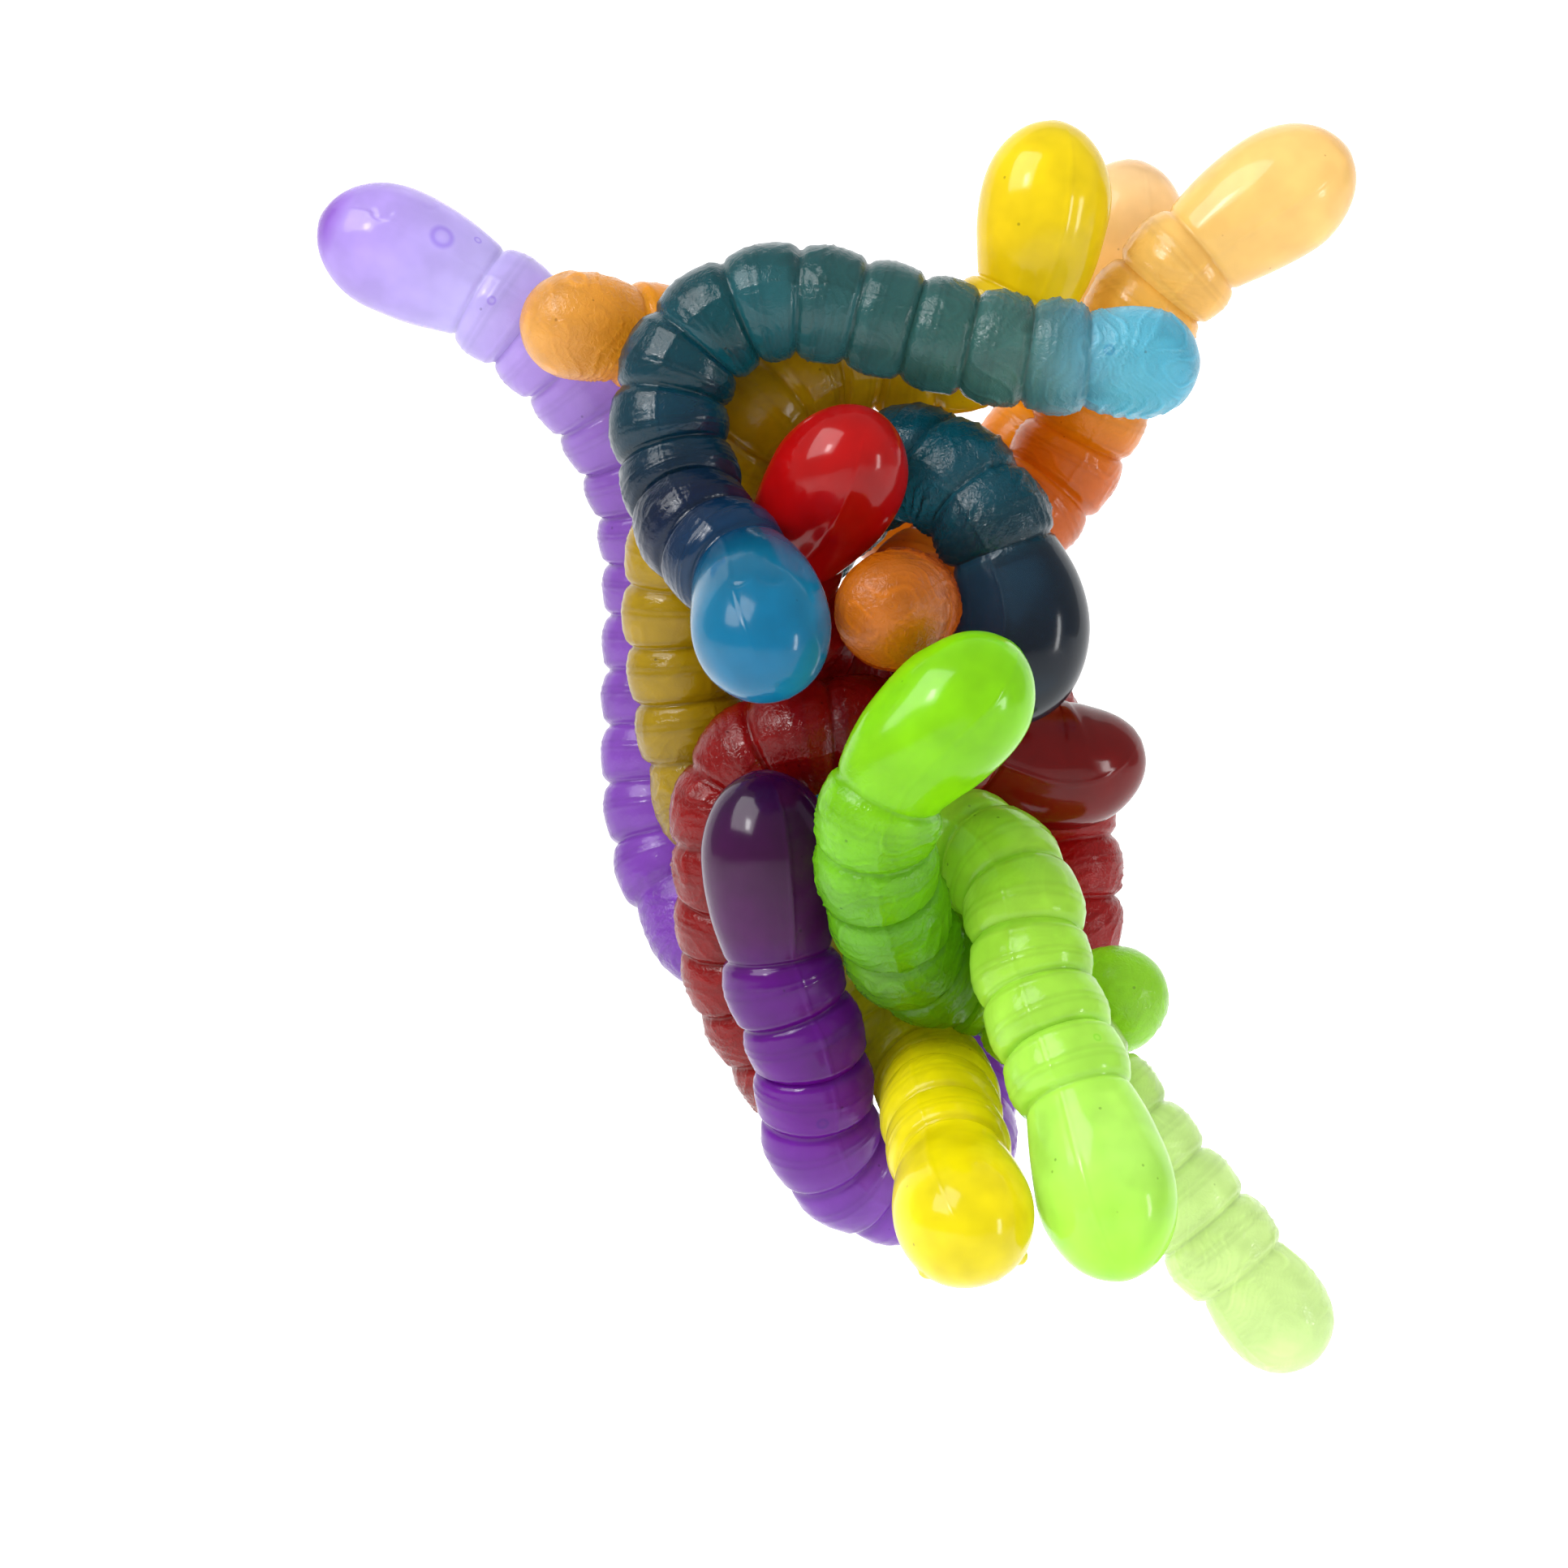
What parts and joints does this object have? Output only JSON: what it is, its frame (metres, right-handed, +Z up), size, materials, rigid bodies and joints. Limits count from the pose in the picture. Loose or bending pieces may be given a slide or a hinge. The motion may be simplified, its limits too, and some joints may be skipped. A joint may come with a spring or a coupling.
{
  "type": "stretchy fidget worm bundle",
  "caption": "Handful of soft, stretchy, translucent ringed worms with egg-shaped heads, squeezed together in the middle so that their ends stick out, bend and stretch.",
  "frame": {"origin": "middle of the grip, where the hand closes round the bunch", "axes": "+Z up along the bunch, from the little-finger side to the thumb side; -Y towards the viewer, out of the open front of the fist; +X to the viewer's right"},
  "size_m": [0.1092, 0.0701, 0.1284],
  "materials": {
    "blue_rubber": "glossy, translucent, slightly tacky",
    "green_rubber": "glossy, translucent, slightly tacky",
    "orange_rubber": "glossy, translucent, slightly tacky",
    "purple_rubber": "glossy, translucent, slightly tacky",
    "red_rubber": "glossy, translucent, slightly tacky",
    "yellow_rubber": "glossy, translucent, slightly tacky"
  },
  "bodies": {
    "gripped_bundle": {"purple_1_body": "purple_rubber", "orange_2_body": "orange_rubber", "yellow_1_body": "yellow_rubber", "orange_1_body": "orange_rubber", "blue_1_body": "blue_rubber", "blue_2_body": "blue_rubber", "red_1_body": "red_rubber", "red_2_body": "red_rubber", "green_1_body": "green_rubber", "green_2_body": "green_rubber", "yellow_2_body": "yellow_rubber", "purple_2_body": "purple_rubber"},
    "purple_1_head": {"purple_1_head": "purple_rubber"},
    "purple_1_neck": {"purple_1_neck": "purple_rubber"},
    "orange_2_head": {"orange_2_head": "orange_rubber"},
    "orange_2_tail": {"orange_2_tail": "orange_rubber"},
    "yellow_1_head": {"yellow_1_head": "yellow_rubber"},
    "yellow_1_neck": {"yellow_1_neck": "yellow_rubber"},
    "orange_1_head": {"orange_1_head": "orange_rubber"},
    "orange_1_neck": {"orange_1_neck": "orange_rubber"},
    "orange_1_tail": {"orange_1_tail": "orange_rubber"},
    "blue_1_head": {"blue_1_head": "blue_rubber"},
    "blue_1_hip": {"blue_1_hip": "blue_rubber"},
    "blue_1_tail": {"blue_1_tail": "blue_rubber"},
    "blue_2_head": {"blue_2_head": "blue_rubber"},
    "red_1_head": {"red_1_head": "red_rubber"},
    "red_2_head": {"red_2_head": "red_rubber"},
    "green_1_head": {"green_1_head": "green_rubber"},
    "green_1_waist": {"green_1_waist": "green_rubber"},
    "green_1_hip": {"green_1_hip": "green_rubber"},
    "green_1_tail": {"green_1_tail": "green_rubber"},
    "green_2_head": {"green_2_head": "green_rubber"},
    "green_2_neck": {"green_2_neck": "green_rubber"},
    "green_2_shoulder": {"green_2_shoulder": "green_rubber"},
    "green_2_tail": {"green_2_tail": "green_rubber"},
    "yellow_2_head": {"yellow_2_head": "yellow_rubber"},
    "yellow_2_neck": {"yellow_2_neck": "yellow_rubber"},
    "purple_2_head": {"purple_2_head": "purple_rubber"}
  },
  "joints": [
    {"name": "purple_1_head_stretch", "type": "slide", "parent": "purple_1_neck", "child": "purple_1_head", "axis": [-0.8571, -0.0227, 0.5146], "range_m": [0, 0.008], "stiffness_N_per_m": 150},
    {"name": "purple_1_neck_bend", "type": "hinge", "parent": "gripped_bundle", "child": "purple_1_neck", "pos_m": [-0.03433, 0.01639, 0.02749], "axis": [0.726, -0.0001, 0.6877], "range_deg": [-18, 13], "stiffness_Nm_per_rad": 0.02},
    {"name": "orange_2_head_bend", "type": "hinge", "parent": "gripped_bundle", "child": "orange_2_head", "pos_m": [0.02322, 0.02402, 0.03177], "axis": [0.854, -0.3804, -0.3548], "range_deg": [-18, 18], "stiffness_Nm_per_rad": 0.02},
    {"name": "orange_2_tail_bend", "type": "hinge", "parent": "gripped_bundle", "child": "orange_2_tail", "pos_m": [-0.02299, 0.00844, 0.02858], "axis": [0.4852, -0.6723, -0.5591], "range_deg": [-18, 13], "stiffness_Nm_per_rad": 0.02},
    {"name": "yellow_1_head_stretch", "type": "slide", "parent": "yellow_1_neck", "child": "yellow_1_head", "axis": [0.4354, -0.1017, 0.8945], "range_m": [0, 0.008], "stiffness_N_per_m": 150},
    {"name": "yellow_1_neck_bend", "type": "hinge", "parent": "gripped_bundle", "child": "yellow_1_neck", "pos_m": [0.00979, 0.0054, 0.02882], "axis": [-0.4819, -0.6995, 0.5277], "range_deg": [-18, 13], "stiffness_Nm_per_rad": 0.02},
    {"name": "orange_1_head_stretch", "type": "slide", "parent": "orange_1_neck", "child": "orange_1_head", "axis": [0.7775, -0.0688, 0.6251], "range_m": [0, 0.008], "stiffness_N_per_m": 150},
    {"name": "orange_1_neck_bend", "type": "hinge", "parent": "gripped_bundle", "child": "orange_1_neck", "pos_m": [0.02479, 0.01016, 0.02973], "axis": [0.8681, 0.0001, -0.4964], "range_deg": [-18, 18], "stiffness_Nm_per_rad": 0.02},
    {"name": "orange_1_tail_bend", "type": "hinge", "parent": "gripped_bundle", "child": "orange_1_tail", "pos_m": [0.00029, -0.01111, 0.00032], "axis": [-0.9043, -0.0678, 0.4214], "range_deg": [-1, 18], "stiffness_Nm_per_rad": 0.02},
    {"name": "blue_1_head_bend", "type": "hinge", "parent": "gripped_bundle", "child": "blue_1_head", "pos_m": [-0.01545, -0.01835, 0.00386], "axis": [-0.8675, -0.2666, -0.4199], "range_deg": [-17, 18], "stiffness_Nm_per_rad": 0.02},
    {"name": "blue_1_hip_bend", "type": "hinge", "parent": "gripped_bundle", "child": "blue_1_hip", "pos_m": [0.01341, -0.00803, 0.02631], "axis": [0.1424, -0.0001, 0.9898], "range_deg": [-18, 18], "stiffness_Nm_per_rad": 0.02},
    {"name": "blue_1_tail_stretch", "type": "slide", "parent": "blue_1_hip", "child": "blue_1_tail", "axis": [0.9972, 0.0035, -0.0742], "range_m": [0, 0.008], "stiffness_N_per_m": 150},
    {"name": "blue_2_head_bend", "type": "hinge", "parent": "gripped_bundle", "child": "blue_2_head", "pos_m": [0.0109, -0.00745, 0.00651], "axis": [0.3749, -0.9232, 0.0843], "range_deg": [-3, 18], "stiffness_Nm_per_rad": 0.02},
    {"name": "red_1_head_bend", "type": "hinge", "parent": "gripped_bundle", "child": "red_1_head", "pos_m": [-0.01022, -0.00522, 0.00724], "axis": [-0.7363, -0.6463, -0.2004], "range_deg": [-5, 13], "stiffness_Nm_per_rad": 0.02},
    {"name": "red_2_head_bend", "type": "hinge", "parent": "gripped_bundle", "child": "red_2_head", "pos_m": [0.00888, 0.00425, -0.01333], "axis": [0.3568, -0.7759, -0.5203], "range_deg": [-6, 18], "stiffness_Nm_per_rad": 0.02},
    {"name": "green_1_head_bend", "type": "hinge", "parent": "gripped_bundle", "child": "green_1_head", "pos_m": [-0.00122, -0.02641, -0.01784], "axis": [0.7815, -0.3594, -0.5099], "range_deg": [-14, 18], "stiffness_Nm_per_rad": 0.02},
    {"name": "green_1_waist_bend", "type": "hinge", "parent": "gripped_bundle", "child": "green_1_waist", "pos_m": [0.01584, -0.00635, -0.04276], "axis": [-0.3646, -0.9193, -0.1483], "range_deg": [-18, 18], "stiffness_Nm_per_rad": 0.03},
    {"name": "green_1_hip_bend", "type": "hinge", "parent": "green_1_waist", "child": "green_1_hip", "pos_m": [0.02343, -0.00709, -0.05223], "axis": [0.7822, -0.0001, 0.623], "range_deg": [-18, 18], "stiffness_Nm_per_rad": 0.02},
    {"name": "green_1_tail_stretch", "type": "slide", "parent": "green_1_hip", "child": "green_1_tail", "axis": [0.6316, -0.0164, -0.7752], "range_m": [0, 0.008], "stiffness_N_per_m": 150},
    {"name": "green_2_head_stretch", "type": "slide", "parent": "green_2_neck", "child": "green_2_head", "axis": [0.2906, -0.4199, -0.8598], "range_m": [0, 0.008], "stiffness_N_per_m": 150},
    {"name": "green_2_neck_bend", "type": "hinge", "parent": "green_2_shoulder", "child": "green_2_neck", "pos_m": [0.01379, -0.01959, -0.03772], "axis": [-0.9608, 0, -0.2773], "range_deg": [-18, 18], "stiffness_Nm_per_rad": 0.02},
    {"name": "green_2_shoulder_bend", "type": "hinge", "parent": "gripped_bundle", "child": "green_2_shoulder", "pos_m": [0.0118, -0.01424, -0.02734], "axis": [-0.9307, -0.3002, -0.2089], "range_deg": [-3, 18], "stiffness_Nm_per_rad": 0.03},
    {"name": "green_2_tail_bend", "type": "hinge", "parent": "gripped_bundle", "child": "green_2_tail", "pos_m": [0.01417, 0.01, -0.04013], "axis": [-0.5188, -0.6734, -0.5267], "range_deg": [-18, 9], "stiffness_Nm_per_rad": 0.02},
    {"name": "yellow_2_head_stretch", "type": "slide", "parent": "yellow_2_neck", "child": "yellow_2_head", "axis": [0.0934, -0.8883, -0.4497], "range_m": [0, 0.008], "stiffness_N_per_m": 150},
    {"name": "yellow_2_neck_bend", "type": "hinge", "parent": "gripped_bundle", "child": "yellow_2_neck", "pos_m": [0.0047, -0.01607, -0.05167], "axis": [-0.9807, 0, -0.1957], "range_deg": [-18, 18], "stiffness_Nm_per_rad": 0.02},
    {"name": "purple_2_head_bend", "type": "hinge", "parent": "gripped_bundle", "child": "purple_2_head", "pos_m": [-0.01184, -0.0114, -0.03427], "axis": [0.3988, -0.9064, -0.1395], "range_deg": [-3, 18], "stiffness_Nm_per_rad": 0.02}
  ]
}
